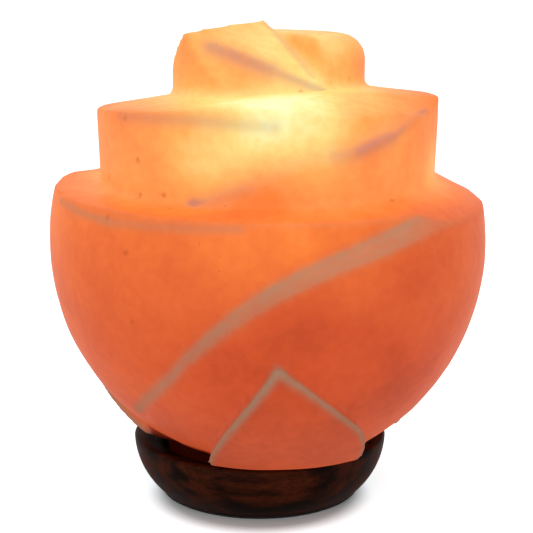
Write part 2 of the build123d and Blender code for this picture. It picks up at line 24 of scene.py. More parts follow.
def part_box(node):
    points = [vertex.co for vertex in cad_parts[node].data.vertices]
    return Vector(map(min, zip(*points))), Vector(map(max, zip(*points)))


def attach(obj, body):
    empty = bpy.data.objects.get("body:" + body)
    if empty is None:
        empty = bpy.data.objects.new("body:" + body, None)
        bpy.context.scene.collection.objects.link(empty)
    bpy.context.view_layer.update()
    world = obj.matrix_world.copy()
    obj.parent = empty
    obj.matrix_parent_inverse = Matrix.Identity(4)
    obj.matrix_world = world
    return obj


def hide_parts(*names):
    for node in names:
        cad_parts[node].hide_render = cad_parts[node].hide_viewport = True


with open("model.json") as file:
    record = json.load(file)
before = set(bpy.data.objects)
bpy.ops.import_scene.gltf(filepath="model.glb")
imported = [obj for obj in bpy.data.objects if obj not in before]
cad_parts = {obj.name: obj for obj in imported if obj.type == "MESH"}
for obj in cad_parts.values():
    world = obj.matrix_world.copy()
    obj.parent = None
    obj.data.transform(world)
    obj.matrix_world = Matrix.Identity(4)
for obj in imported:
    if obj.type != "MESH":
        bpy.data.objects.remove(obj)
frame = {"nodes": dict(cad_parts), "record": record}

logging.basicConfig(level=logging.INFO, format="%(name)s: %(message)s")
log = logging.getLogger("salt_lamp")

MM = 0.001
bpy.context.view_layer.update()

BLACK = (0.0, 0.0, 0.0)

Color = tuple[float, float, float]
Point = tuple[float, float, float]


class Body(Enum):
    """Rigid bodies of the lamp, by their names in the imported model."""

    LAMP = "lamp"
    HOLDER = "holder"
    CLIP_LEFT = "clip_left"
    CLIP_RIGHT = "clip_right"
    BULB = "bulb"


# ------------------------------------------------------------------------------ shader building
class Sock:
    """An output socket that can be used in arithmetic, each step being one Math node."""

    def __init__(self, look: "Look", socket: bpy.types.NodeSocket) -> None:
        self.look = look
        self.socket = socket

    def op(self, kind: str, *others: "Sock | float") -> "Sock":
        """Apply one Math operation.

        Args:
            kind: Blender's name of the operation, such as "MULTIPLY".
            others: the operation's other inputs.

        Returns:
            The result's socket.
        """
        inputs = {str(i): value for i, value in enumerate((self, *others))}
        return self.look.add("ShaderNodeMath", {"operation": kind}, inputs)

    def __add__(self, other: "Sock | float") -> "Sock":
        return self.op("ADD", other)

    def __mul__(self, other: "Sock | float") -> "Sock":
        return self.op("MULTIPLY", other)

    def between(self, low: float, high: float, to_low: float = 0.0,
                to_high: float = 1.0) -> "Sock":
        """Smooth step of this value from [low, high] to [to_low, to_high]."""
        ends = {"From Min": low, "From Max": high, "To Min": to_low, "To Max": to_high}
        return self.look.add("ShaderNodeMapRange", {"interpolation_type": "SMOOTHSTEP"},
                             {"Value": self, **ends})


class Look:
    """One procedural material under construction."""

    def __init__(self, name: str) -> None:
        self.material = bpy.data.materials.new(name)
        self.material.use_nodes = True
        self.tree = self.material.node_tree
        self.shader = self.tree.nodes["Principled BSDF"]

    def add(self, kind: str, props: dict | None = None, inputs: dict | None = None,
            output: str | int = 0) -> Sock:
        """Add one node.

        Args:
            kind: the node's type name.
            props: settings of the node.
            inputs: values or sockets by input name, or by index written as text.
            output: name or index of the output to return.

        Returns:
            The chosen output.
        """
        node = self.tree.nodes.new(kind)
        for key, value in (props or {}).items():
            setattr(node, key, value)
        for key, value in (inputs or {}).items():
            self.put(node.inputs[int(key) if key.isdigit() else key], value)
        return Sock(self, node.outputs[output])

    def put(self, target: bpy.types.NodeSocket, value: "Sock | float | tuple") -> None:
        """Link a socket to an input, or set the input's constant."""
        if isinstance(value, Sock):
            self.tree.links.new(value.socket, target)
        else:
            target.default_value = value

    def set(self, **inputs: "Sock | float | tuple") -> None:
        """Set the shader's inputs, with spaces in their names written as underscores."""
        for key, value in inputs.items():
            self.put(self.shader.inputs[key.replace("_", " ")], value)

    def place(self) -> Sock:
        """Object coordinates."""
        return self.add("ShaderNodeTexCoord", output="Object")

    def noise(self, size: float, detail: float = 3.0, stretch: Point = (1, 1, 1)) -> Sock:
        """Noise between 0 and 1 with features of about the given size in metres."""
        vector = self.add("ShaderNodeMapping", {}, {"Vector": self.place(), "Scale": stretch})
        return self.add("ShaderNodeTexNoise", {}, {"Vector": vector, "Scale": 1 / size,
                                                   "Detail": detail}, output="Fac")

    def stored(self, name: str) -> Sock:
        """A value stored on the mesh's vertices."""
        return self.add("ShaderNodeAttribute", {"attribute_name": name}, output="Fac")

    def ramp(self, factor: Sock, stops: tuple[tuple[float, Color], ...]) -> Sock:
        """Colour ramp through the given stops."""
        color = self.add("ShaderNodeValToRGB", {}, {"Fac": factor})
        elements = color.socket.node.color_ramp.elements
        while len(elements) < len(stops):
            elements.new(0.5)
        for element, (position, value) in zip(elements, stops):
            element.position = position
            element.color = (*value, 1.0)
        return color

    def mix(self, factor: "Sock | float", a: "Sock | Color", b: "Sock | Color") -> Sock:
        """Colour mixed from a to b. A Mix node keeps its colour inputs at 6 and 7."""
        a, b = (v if isinstance(v, Sock) else (*v, 1.0) for v in (a, b))
        inputs = {"0": factor, "6": a, "7": b}
        return self.add("ShaderNodeMix", {"data_type": "RGBA"}, inputs, output=2)

    def bump(self, height: Sock, depth: float, strength: float) -> Sock:
        """Normal from a height between 0 and 1 that stands for a depth in metres."""
        inputs = {"Height": height, "Distance": depth, "Strength": strength}
        return self.add("ShaderNodeBump", {}, inputs)


# ------------------------------------------------------------------------------------ finishes
@dataclass(frozen=True)
class PlainFinish:
    """One even material, with a fine unevenness in its roughness."""

    color: Color
    roughness: float = 0.4
    metallic: float = 0.0
    transmission: float = 0.0
    coat: float = 0.0
    glow: float = 0.0
    grain: float = 0.6 * MM
    spread: float = 0.15

    def build(self, name: str) -> bpy.types.Material:
        """Make the material."""
        look = Look(name)
        smoothest, roughest = (self.roughness * (1 + side * self.spread) for side in (-1, 1))
        rough = look.noise(self.grain).between(0.3, 0.7, smoothest, roughest)
        look.set(Base_Color=(*self.color, 1.0), Roughness=rough, Metallic=self.metallic,
                 Transmission_Weight=self.transmission, Coat_Weight=self.coat,
                 Emission_Color=(*self.color, 1.0), Emission_Strength=self.glow)
        return look.material


@dataclass(frozen=True)
class WoodFinish:
    """Turned dark hardwood: long grain across the base and fine pores."""

    dark: Color = (0.0055, 0.0014, 0.0005)
    light: Color = (0.062, 0.0118, 0.0030)
    grain: float = 4.5 * MM
    pore: float = 0.5 * MM
    pore_depth: float = 0.12 * MM
    stretch: Point = (0.16, 1.0, 1.0)
    relief_strength: float = 0.5
    sheen: float = 0.04

    def build(self, name: str) -> bpy.types.Material:
        """Make the material."""
        look = Look(name)
        bands = look.noise(self.grain, 4.0, self.stretch)
        pores = look.noise(self.pore, 2.0, self.stretch)
        tone = bands.between(0.35, 0.68) * pores.between(0.35, 0.6, 0.55, 1.0)
        color = look.mix(tone, self.dark, self.light)
        height = pores * 0.6 + bands * 0.4
        look.set(Base_Color=color, Roughness=bands.between(0.3, 0.7, 0.34, 0.5),
                 Specular_IOR_Level=self.sheen,
                 Normal=look.bump(height, self.pore_depth, self.relief_strength))
        return look.material


@dataclass(frozen=True)
class SaltFinish:
    """Rock salt lit from inside: colour follows the light stored on the mesh.

    The stops give the colour that the stone shows at each level of transmitted light, from the
    deep orange low on the bowl to the pale yellow in the thin valleys. Frosted salt, and the
    painted shade under the bud's top edge, are grey in the dark parts and mauve where much light
    comes through.
    """

    stops: tuple[tuple[float, Color], ...] = (
        (0.0, (0.02, 0.001, 0.0)), (0.04, (0.36, 0.040, 0.012)), (0.08, (0.61, 0.080, 0.021)),
        (0.145, (0.79, 0.145, 0.032)), (0.215, (0.955, 0.215, 0.037)),
        (0.285, (0.975, 0.285, 0.068)), (0.42, (0.985, 0.42, 0.10)), (0.56, (0.985, 0.56, 0.168)),
        (0.70, (0.985, 0.70, 0.223)), (0.84, (0.99, 0.84, 0.347)), (1.0, (1.0, 1.0, 0.52)))
    # colour of frosted salt, also used for the painted shade under the bud's top edge
    frost: Color = (0.27, 0.235, 0.155)
    lit_frost: Color = (0.33, 0.14, 0.19)
    speck: Color = (0.50, 0.085, 0.020)
    speck_cover: float = 0.5
    self_lit: float = 0.62
    frost_dims: float = 0.70
    frost_levels: tuple[float, float] = (0.14, 0.34)
    cloud_size: float = 16 * MM
    mottle_size: float = 3.2 * MM
    fine_size: float = 0.7 * MM
    speck_size: float = 1.6 * MM
    patch_size: float = 24 * MM
    relief: float = 0.5 * MM
    relief_strength: float = 0.6
    body_dims: float = 0.5              # the lit body is this much darker than the light inside
    roughness: float = 0.42
    frost_roughness: float = 0.3        # added where the salt is frosted
    sheen: float = 0.12

    def build(self, name: str) -> bpy.types.Material:
        """Make the material."""
        look = Look(name)
        cloud = look.noise(self.cloud_size, 4.0)
        mottle = look.noise(self.mottle_size, 5.0)
        fine = look.noise(self.fine_size, 3.0)
        level = (look.stored("light") * cloud.between(0.25, 0.75, 0.90, 1.10)
                 * mottle.between(0.3, 0.7, 0.95, 1.05))
        color = look.ramp(level, self.stops)
        color = look.mix(self.specks(look), color, self.speck)
        # frost and painted shade: this mask greys the colour and dims the glow
        frost_and_shade_cover = look.stored("frost") * mottle.between(0.25, 0.6, 0.75, 1.0)
        emitted = look.mix(frost_and_shade_cover * self.frost_dims, color, BLACK)
        frost_and_shade_tint = look.mix(level.between(*self.frost_levels), self.frost, self.lit_frost)
        body = look.mix(frost_and_shade_cover, look.mix(self.body_dims, color, BLACK), frost_and_shade_tint)
        height = cloud * 0.4 + mottle * 0.35 + fine * 0.25
        look.set(Base_Color=body, Emission_Color=emitted, Emission_Strength=self.self_lit,
                 Roughness=frost_and_shade_cover.op("MULTIPLY_ADD", self.frost_roughness, self.roughness),
                 Specular_IOR_Level=self.sheen,
                 Normal=look.bump(height, self.relief, self.relief_strength))
        return look.material

    def specks(self, look: Look) -> Sock:
        """Mask of small iron-brown inclusions: the known ones and a fine scatter."""
        wander = look.noise(self.speck_size, 3.0)
        patch = look.noise(self.patch_size, 1.0)
        scatter = wander.between(0.66, 0.74) * patch.between(0.50, 0.66)
        known = (look.stored("rust") * wander * 2.0).between(0.45, 1.0)
        return scatter.op("MAXIMUM", known) * self.speck_cover


FINISHES = {
    "rock_salt": SaltFinish(),
    "dark_wood": WoodFinish(),
    "felt": PlainFinish((0.010, 0.010, 0.010), 0.9),
    "screw_steel": PlainFinish((0.55, 0.55, 0.56), 0.30, metallic=1.0),
    "plug_plastic": PlainFinish((0.45, 0.45, 0.43), 0.55),
    "bush_rubber": PlainFinish((0.015, 0.015, 0.015), 0.6),
    "holder_moulding": PlainFinish((0.012, 0.012, 0.012), 0.42),
    "porcelain": PlainFinish((0.78, 0.76, 0.70), 0.2, coat=0.6),
    "contact_brass": PlainFinish((0.72, 0.50, 0.20), 0.28, metallic=1.0),
    "spring_steel": PlainFinish((0.30, 0.32, 0.36), 0.30, metallic=1.0),
    "bulb_aluminium": PlainFinish((0.80, 0.80, 0.80), 0.30, metallic=1.0),
    "black_glass": PlainFinish((0.012, 0.012, 0.014), 0.12, coat=0.5),
    "solder": PlainFinish((0.50, 0.50, 0.50), 0.45, metallic=1.0),
    "clear_glass": PlainFinish((1.0, 1.0, 1.0), 0.02, transmission=1.0),
    "nickel_wire": PlainFinish((0.60, 0.58, 0.54), 0.30, metallic=1.0),
    "tungsten": PlainFinish((1.0, 0.62, 0.24), 0.5, glow=40.0),
}


class Finishes:
    """Materials by record slot, each made once."""

    def __init__(self) -> None:
        self.made: dict[str, bpy.types.Material] = {}

    def get(self, slot: str) -> bpy.types.Material:
        """The slot's material."""
        if slot not in self.made:
            self.made[slot] = FINISHES[slot].build(slot)
        return self.made[slot]


# -------------------------------------------------------------------------------------- pieces
JOIN = 0.002 * MM            # packed corners closer than this are one corner


def merged_copy(node: str) -> bmesh.types.BMesh:
    """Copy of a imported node's mesh with its loose triangles joined."""
    mesh = bmesh.new()
    mesh.from_mesh(frame["nodes"][node].data)
    bmesh.ops.remove_doubles(mesh, verts=mesh.verts, dist=JOIN)
    return mesh


def as_object(name: str, source: bmesh.types.BMesh) -> bpy.types.Object:
    """Scene object from a bmesh, which is freed."""
    data = bpy.data.meshes.new(name)
    source.to_mesh(data)
    source.free()
    made = bpy.data.objects.new(name, data)
    bpy.context.scene.collection.objects.link(made)
    return made


def settle(piece: bpy.types.Object, node: str, slot: str, body: Body, finishes: Finishes,
           sharp: float = 32.0) -> None:
    """Give a piece its finish, its body and its smooth shading, and hide the node it stands for."""
    piece.data.materials.clear()
    piece.data.materials.append(finishes.get(slot))
    piece.data.shade_smooth()
    piece.data.set_sharp_from_angle(angle=math.radians(sharp))
    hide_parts(node)
    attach(piece, body.value)
    log.info("%s: %d faces on %s", piece.name, len(piece.data.polygons), body.value)


def spun(name: str, outline: list[tuple[float, float]], steps: int) -> bpy.types.Object:
    """Closed solid of revolution about Z.

    Args:
        name: the object's name.
        outline: (radius, height) corners, counted round the closed section.
        steps: number of steps in the full turn.

    Returns:
        The new object.
    """
    mesh = bmesh.new()
    corners = [mesh.verts.new((r, 0.0, z)) for r, z in outline]
    ring = [mesh.edges.new(pair) for pair in zip(corners, corners[1:] + corners[:1])]
    bmesh.ops.spin(mesh, geom=corners + ring, cent=(0, 0, 0), axis=(0, 0, 1),
                   angle=2 * math.pi, steps=steps, use_merge=True)
    bmesh.ops.remove_doubles(mesh, verts=mesh.verts, dist=JOIN / 2)
    bmesh.ops.dissolve_degenerate(mesh, edges=mesh.edges, dist=JOIN / 4)
    bmesh.ops.recalc_face_normals(mesh, faces=mesh.faces)
    return as_object(name, mesh)


@dataclass(frozen=True)
class Glow:
    """Place where the salt passes more or less light than its thickness says, in millimetres.

    It also works at the opposite side of the stone, half a turn away.
    """

    at: Point
    size: float
    strength: float


@dataclass(frozen=True)
class Scrape:
    """Stroke along points in millimetres: frost left on the salt by the carver's file, and under
    the bud's top edge a painted shade.

    It lies only on faces that look forward by more than the limit.
    """

    points: tuple[Point, ...]
    width: float
    strength: float
    forward: float = -1.0


GLOWS = (
    Glow((7, -55, 141), 14, 0.97), Glow((-32, -53, 110), 14, -0.22), Glow((-6, -24, 151), 9, -0.58),
    Glow((70, -31, 73), 22, 0.38), Glow((3, -58, 113), 9, -0.55), Glow((-19, -27, 15), 22, -0.81),
    Glow((8, -66, 44), 12, 0.12), Glow((13, -74, 75), 9, -0.31), Glow((-6, -70, 102), 9, 0.31),
    Glow((-64, -21, 63), 22, 0.30), Glow((-10, -69, 60), 9, -0.28), Glow((53, -58, 100), 14, -0.26),
    Glow((-62, -29, 66), 24, -0.19), Glow((73, -30, 91), 16, -0.30), Glow((-20, -50, 122), 8, 0.36),
    Glow((27, -48, 135), 8, 0.30), Glow((-7, -53, 124), 8, 0.20), Glow((24, -17, 156), 8, 0.24),
    Glow((-13, -40, 141), 10, 0.29), Glow((53, -1, 142), 16, -0.38), Glow((57, -19, 117), 7, 0.45),
    Glow((10, -69, 106), 6, 0.20), Glow((-46, -34, 128), 12, -0.20), Glow((0, -12, 159), 8, 0.30),
    Glow((-10, -62, 108), 9, -0.34), Glow((45, -48, 52), 14, -0.30), Glow((34, -50, 128), 6, -0.30),
)
FROST_AND_SHADE_STROKES = (
    # the first two strokes are painted shade under the bud's top edge, over its frosted band; the
    # rest are frost
    Scrape(((-15.4, -19.8, 158.1), (-6.2, -21.4, 154.7), (3.6, -23.3, 150.9)), 3.4, 0.58, 0.25),
    Scrape(((3.6, -23.3, 150.9), (13.4, -25.1, 147.2), (20.5, -26.5, 144.4)), 2.2, 0.50, 0.25),
    Scrape(((2.7, 4.5, 164.1), (17.4, -21.0, 148.4)), 1.3, 0.34),
    Scrape(((23.6, -52.7, 126.5), (33.7, -50.1, 128.3)), 3.0, 0.40),
    Scrape(((31.0, -50.8, 128.0), (42.3, -43.8, 132.0)), 2.8, 0.62),
    Scrape(((42.3, -43.8, 131.5), (54.6, -25.1, 138.4)), 1.4, 0.55),
    Scrape(((-16.7, -53.7, 112.1), (-4.2, -57.2, 117.1)), 3.2, 0.28),
    Scrape(((-65.9, -25.0, 107.9), (-57.3, -41.1, 106.7), (-46.5, -52.9, 105.7)), 1.5, 0.50),
    Scrape(((-46.5, -52.9, 105.7), (-33.3, -61.7, 106.1), (-20.7, -67.0, 106.4),
            (-5.6, -69.8, 106.7)), 1.6, 0.36),
    Scrape(((-45.4, -31.9, 136.8), (-34.2, -43.4, 137.2), (-21.2, -50.8, 137.4),
            (-8.8, -54.3, 136.5), (5.0, -54.9, 135.7)), 2.2, 0.34, 0.3),
    Scrape(((-21.0, -65.0, 65.6), (-27.3, -60.3, 57.8), (-32.5, -54.0, 51.5), (-37.5, -44.5, 44.5),
            (-41.2, -33.5, 37.5)), 2.2, 0.74),
)
RUST = ((-50.6, -21.4, 115.0), (-38.5, -38.4, 111.8), (-30.3, -45.0, 113.2), (-28.0, -52.3, 110.3),
        (-47.9, -51.3, 106.7), (-41.4, -58.3, 97.2), (-40.0, -57.9, 75.0), (-39.0, -38.2, 123.1),
        (13.3, -27.5, 144.1), (42.2, -45.4, 111.4), (-43.2, -34.7, 136.5))


@dataclass(frozen=True)
class Sepals:
    """The three pointed sepals, in millimetres, and degrees about the front cup's axis.

    Each side is a list of (azimuth, height) from the tip down, and both lie on the cup's turned
    face, moved out.
    """

    left: tuple[tuple[float, float], ...] = (
        (0.8, 65.0), (-2.5, 58.3), (-6.6, 51.1), (-11.6, 43.1), (-18.0, 34.3), (-26.0, 24.6),
        (-28.0, 21.5))
    right: tuple[tuple[float, float], ...] = (
        (1.8, 65.0), (4.1, 62.2), (7.8, 58.5), (12.4, 53.7), (19.0, 47.0), (27.6, 39.2),
        (33.9, 31.4), (41.0, 21.5))
    turns: tuple[float, ...] = (0.0, 120.0, 240.0)
    rows: int = 25
    depth: float = 14.0
    open_out: float = 4.0           # the sides open out by this many degrees over the depth
    proud: float = 5.0
    farthest: float = 74.2          # no point lies farther than this from the cup's axis
    cup_centre: tuple[float, float] = (4.205, -2.396)
    cup_r: float = 74.3
    cup_arc: float = 81.1
    cup_waist: float = 90.0

    def sides(self) -> zip:
        """Height, left azimuth and right azimuth of each row."""
        levels = np.linspace(self.left[0][1], self.left[-1][1], self.rows)
        found = [np.interp(-levels, [-z for _, z in side], [az for az, _ in side])
                 for side in (self.left, self.right)]
        return zip(levels, *found)

    def point(self, azimuth: float, z: float, depth: float) -> Vector:
        """Point of the sepals' face, or the given depth under it, in metres."""
        angle = math.radians(azimuth - 90)
        arc = self.cup_arc + self.proud
        r = self.cup_r - self.cup_arc + math.sqrt(arc ** 2 - (z - self.cup_waist) ** 2) - depth
        r = min(r, self.farthest)
        return Vector((self.cup_centre[0] + r * math.cos(angle),
                       self.cup_centre[1] + r * math.sin(angle), z)) * MM

    def add_to(self, solid: bmesh.types.BMesh) -> list[Vector]:
        """Lay a bulging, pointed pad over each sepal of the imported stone.

        Args:
            solid: the stone, which gets the pads' faces.

        Returns:
            Points along the pads' two outer edges.
        """
        edges = []
        for turn in self.turns:
            skins = []
            for depth, open_out in ((0.0, 0.0), (self.depth, self.open_out)):
                grid = []
                for z, low, high in self.sides():
                    turned = np.linspace(low - open_out, high + open_out, self.rows) + turn
                    grid.append([solid.verts.new(self.point(az, z, depth)) for az in turned])
                skins.append(grid)
            edges += [row[i].co.copy() for row in skins[0] for i in (0, -1)]
            self.close(solid, skins)
        return edges

    def close(self, solid: bmesh.types.BMesh, skins: list) -> None:
        """Faces of one pad: both skins and the four sides between them."""
        last = self.rows - 1
        rings = []
        for grid in skins:
            for upper, lower in zip(grid, grid[1:]):
                for j in range(last):
                    solid.faces.new((upper[j], upper[j + 1], lower[j + 1], lower[j]))
            rings.append(grid[0][:last] + [row[last] for row in grid[:last]]
                         + grid[last][:0:-1] + [row[0] for row in grid[:0:-1]])
        for i in range(len(rings[0])):
            solid.faces.new((rings[0][i - 1], rings[0][i], rings[1][i], rings[1][i - 1]))


@dataclass
class SaltRose:
    """The carved stone: worn arrises, hand-cut unevenness, and the light inside it."""

    finishes: Finishes
    sepals: Sepals = Sepals()
    voxel: float = 1.15 * MM
    wear: float = 0.5
    wear_rounds: int = 3
    uneven: float = 0.55 * MM
    uneven_size: float = 17 * MM
    chatter: float = 0.12 * MM
    chatter_size: float = 4.5 * MM
    bevel_lean: Point = (-0.30, 0.80, 0.58)
    lean_limit: float = 0.03            # cosine between a bevel's face and the common lean
    bevel_up: float = 0.22              # bevels look up by more than this
    bevel_min_r: float = 41.8 * MM
    sepal_z: float = 66.0 * MM
    sepal_band: tuple[float, float] = (1.4 * MM, 3.4 * MM)
    sepal_frost: float = 0.9
    band_low_z: tuple[float, float] = (59.0 * MM, 66.0 * MM)
    arris_angle: float = 17.0
    arris_step: float = 0.5 * MM
    band_blur: float = 0.9 * MM
    band_rounds: int = 2
    arris_reach: float = 1.7 * MM
    arris_frost: float = 0.30
    drum_z: float = 113.0 * MM
    drum_frost: float = 0.16
    fade: float = 0.5
    fade_x: tuple[float, float] = (40.0 * MM, 64.0 * MM)
    foot_frost: float = 0.12
    foot_frost_z: tuple[float, float] = (24.0 * MM, 62.0 * MM)
    rust_size: float = 1.7 * MM
    bore_r: float = 22.0 * MM
    foot_z: float = 19.0 * MM
    source_r: float = 11.241 * MM
    source_z: float = 122.327 * MM
    bore_top: float = 112.0 * MM
    cone_h: float = 9.0 * MM
    bore_blur: float = 1.5 * MM
    light_steps: int = 48
    gain: float = 1.39
    reach: float = 19.953 * MM
    spread: float = -0.745
    spread_from: float = 60 * MM
    facing: float = 0.036
    crown_z: tuple[float, float] = (138.0 * MM, 147.0 * MM)
    crown_tilt: float = 0.50
    crown_even: float = 0.5             # faces that look up by this much keep their level
    # painted shade: the stone's foot inside shade_r goes dark below these heights
    shade_z: tuple[float, float] = (22.0 * MM, 30.0 * MM)
    shade_r: float = 41.0 * MM
    blur_rounds: int = 6
    blur_share: float = 0.6
    bevels: BVHTree = field(init=False)
    arrises: KDTree = field(init=False)
    sepal_rim: KDTree = field(init=False)

    def build(self) -> None:
        """Make the stone and store its light, its frosted bands with the painted shade under the
        bud's top edge, and its brown specks.
        """
        solid = merged_copy("salt_rose")
        self.find_bevels(solid)
        self.find_arrises(solid)
        self.sepal_rim = self.tree(self.sepals.add_to(solid))
        rough = as_object("salt_rose_skin", solid)
        remesh = rough.modifiers.new("skin", "REMESH")
        remesh.mode = "VOXEL"
        remesh.voxel_size = self.voxel
        smooth = rough.modifiers.new("wear", "SMOOTH")
        smooth.factor = self.wear
        smooth.iterations = self.wear_rounds
        worn = rough.evaluated_get(bpy.context.evaluated_depsgraph_get())
        data = bpy.data.meshes.new_from_object(worn)
        rough.modifiers.clear()
        rough.data = data
        self.carve(data)
        self.store(data, "light", self.soften(data, self.light(data), self.blur_rounds))
        self.store(data, "frost", self.frost(data))
        self.store(data, "rust", self.rust(data))
        settle(rough, "salt_rose", "rock_salt", Body.LAMP, self.finishes, sharp=180.0)

    def find_bevels(self, solid: bmesh.types.BMesh) -> None:
        """Keep the faces of the petals' swept bevels, which all run along one lean."""
        lean = Vector(self.bevel_lean).normalized()
        twin = Vector((-lean.x, -lean.y, lean.z))
        picked = [f for f in solid.faces
                  if min(abs(f.normal.dot(lean)), abs(f.normal.dot(twin))) < self.lean_limit
                  and f.normal.z > self.bevel_up
                  and f.calc_center_median().xy.length > self.bevel_min_r]
        points = [v.co.copy() for f in picked for v in f.verts]
        triples = [tuple(range(i, i + 3)) for i in range(0, len(points), 3)]
        self.bevels = BVHTree.FromPolygons(points, triples)
        log.info("petal bevels: %d faces", len(triples))

    def find_arrises(self, solid: bmesh.types.BMesh) -> None:
        """Sample the outward sharp edges above the sepals at even steps."""
        limit = math.radians(self.arris_angle)
        sharp = [e for e in solid.edges
                 if e.is_manifold and e.calc_face_angle_signed(0.0) > limit
                 and min(v.co.xy.length for v in e.verts) > self.bore_r
                 and min(v.co.z for v in e.verts) > self.sepal_z]
        samples = []
        for edge in sharp:
            a, b = (v.co for v in edge.verts)
            count = max(1, int((b - a).length / self.arris_step))
            samples += [a.lerp(b, i / count) for i in range(count + 1)]
        self.arrises = self.tree(samples)
        log.info("arrises: %d edges", len(sharp))

    def tree(self, points: list[Vector]) -> KDTree:
        """Search tree over the points."""
        made = KDTree(len(points))
        for i, point in enumerate(points):
            made.insert(point, i)
        made.balance()
        return made

    def carve(self, data: bpy.types.Mesh) -> None:
        """Take a little off along the normals, in shallow hand-cut waves."""
        place, normal = self.vectors(data, "co"), self.vectors(data, "normal")
        for i, point in enumerate(place):
            at = Vector(point)
            if at.xy.length > self.bore_r and at.z > self.foot_z:
                wave = 0.5 + 0.5 * noise.noise(at / self.uneven_size)
                ripple = 0.5 + 0.5 * noise.noise(at / self.chatter_size)
                place[i] -= normal[i] * (self.uneven * wave + self.chatter * ripple)
        data.vertices.foreach_set("co", place.ravel())
        data.update()

    def vectors(self, data: bpy.types.Mesh, name: str) -> np.ndarray:
        """Places or normals of all vertices, one row each."""
        flat = np.empty(len(data.vertices) * 3)
        data.vertices.foreach_get(name, flat)
        return flat.reshape(-1, 3)

    def light(self, data: bpy.types.Mesh) -> np.ndarray:
        """Light at each vertex, dimmed by the salt it crosses on its way from the bore."""
        place, normal = self.vectors(data, "co"), self.vectors(data, "normal")
        out = place[:, :2] / np.maximum(self.radius(place), MM)[:, None]
        away = place - np.column_stack([out * self.source_r, np.full(len(place), self.source_z)])
        distance = np.linalg.norm(away, axis=1)
        inside = np.zeros(len(place))
        for step in range(self.light_steps):
            point = place - away * ((step + 0.5) / self.light_steps)
            wall = np.clip(1 - (point[:, 2] - self.bore_top) / self.cone_h, 0, 1) * self.bore_r
            inside += 1 / (1 + np.exp((wall - self.radius(point)) / self.bore_blur))
        level = self.gain - distance * inside / self.light_steps / self.reach
        level += self.facing * (normal * away).sum(axis=1) / distance
        level -= self.spread * np.log(distance / self.spread_from)
        for glow in GLOWS:
            for side in (1, -1):
                at = np.array([side * glow.at[0], side * glow.at[1], glow.at[2]]) * MM
                near = ((place - at) ** 2).sum(axis=1) / (2 * (glow.size * MM) ** 2)
                level += glow.strength * np.exp(-near)
        upper = self.step(place[:, 2], *self.crown_z)
        level += self.crown_tilt * upper * (normal[:, 2] - self.crown_even)
        # painted shade: inside shade_r the stone's foot, down in the base's recess, goes dark
        # towards the bottom
        foot = self.step(place[:, 2], *self.shade_z)
        return np.exp(level) * np.where(self.radius(place) < self.shade_r, foot, 1)

    def radius(self, place: np.ndarray) -> np.ndarray:
        """Distance of each place from the lamp's axis."""
        return np.hypot(place[:, 0], place[:, 1])

    def soften(self, data: bpy.types.Mesh, values: np.ndarray, rounds: int) -> np.ndarray:
        """Blur vertex values along the mesh's edges, as scattering in the salt does."""
        ends = np.empty(len(data.edges) * 2, dtype=np.int64)
        data.edges.foreach_get("vertices", ends)
        a, b = ends.reshape(-1, 2).T
        degree = np.bincount(ends, minlength=len(values)).clip(1)
        for _ in range(rounds):
            near = np.bincount(a, values[b], len(values)) + np.bincount(b, values[a], len(values))
            values = (1 - self.blur_share) * values + self.blur_share * near / degree
        return values

    def frost(self, data: bpy.types.Mesh) -> np.ndarray:
        """How much frost and painted shade each vertex has: the bevels, the worn arrises, the
        file's strokes and the painted shade under the bud's top edge.
        """
        made = np.zeros(len(data.vertices))
        for i, vertex in enumerate(data.vertices):
            on_bevel = self.bevels.find_nearest(vertex.co, 4 * self.band_blur)[3]
            if on_bevel is not None:
                made[i] = max(0.0, 1 - on_bevel / self.band_blur)
            to_arris = self.arrises.find(vertex.co)[2]
            made[i] = max(made[i], self.arris_frost * max(0.0, 1 - to_arris / self.arris_reach))
        place, normal = self.vectors(data, "co"), self.vectors(data, "normal")
        made *= np.where(place[:, 2] > self.drum_z, self.drum_frost, 1.0)
        made *= 1 - self.fade * self.step(np.abs(place[:, 0]), *self.fade_x)
        made *= self.step(place[:, 2], *self.band_low_z)
        to_rim = np.array([self.sepal_rim.find(v.co)[2] for v in data.vertices])
        made = np.maximum(made, self.sepal_frost * (1 - self.step(to_rim, *self.sepal_band)))
        made = self.soften(data, made, self.band_rounds)
        # frost left by the file, and painted shade under the bud's top edge
        for painted_stroke in FROST_AND_SHADE_STROKES:
            points = np.array(painted_stroke.points) * MM
            for start, end in zip(points, points[1:]):
                run = end - start
                along = np.clip(((place - start) @ run) / (run @ run), 0, 1)
                off = ((place - start - along[:, None] * run) ** 2).sum(axis=1)
                mark = painted_stroke.strength * np.exp(-off / (painted_stroke.width * MM) ** 2)
                made = np.maximum(made, np.where(-normal[:, 1] > painted_stroke.forward, mark, 0.0))
        low = 1 - self.step(place[:, 2], *self.foot_frost_z)
        low[self.radius(place) < self.shade_r] = 0.0
        return np.maximum(made, self.foot_frost * low)

    def rust(self, data: bpy.types.Mesh) -> np.ndarray:
        """Nearness to the brown inclusions that show through the salt."""
        place = self.vectors(data, "co")
        spots = [np.exp(-((place - np.array(at) * MM) ** 2).sum(axis=1) / self.rust_size ** 2)
                 for at in RUST]
        return np.max(spots, axis=0)

    def step(self, values: np.ndarray, low: float, high: float) -> np.ndarray:
        """Smooth step from 0 at low to 1 at high."""
        share = np.clip((values - low) / (high - low), 0, 1)
        return share * share * (3 - 2 * share)

    def store(self, data: bpy.types.Mesh, name: str, values: np.ndarray) -> None:
        """Write vertex values where a material can read them."""
        attribute = data.attributes.new(name, "FLOAT", "POINT")
        attribute.data.foreach_set("value", values.astype(np.float32))
        log.info("%s: %.3f to %.3f", name, values.min(), values.max())


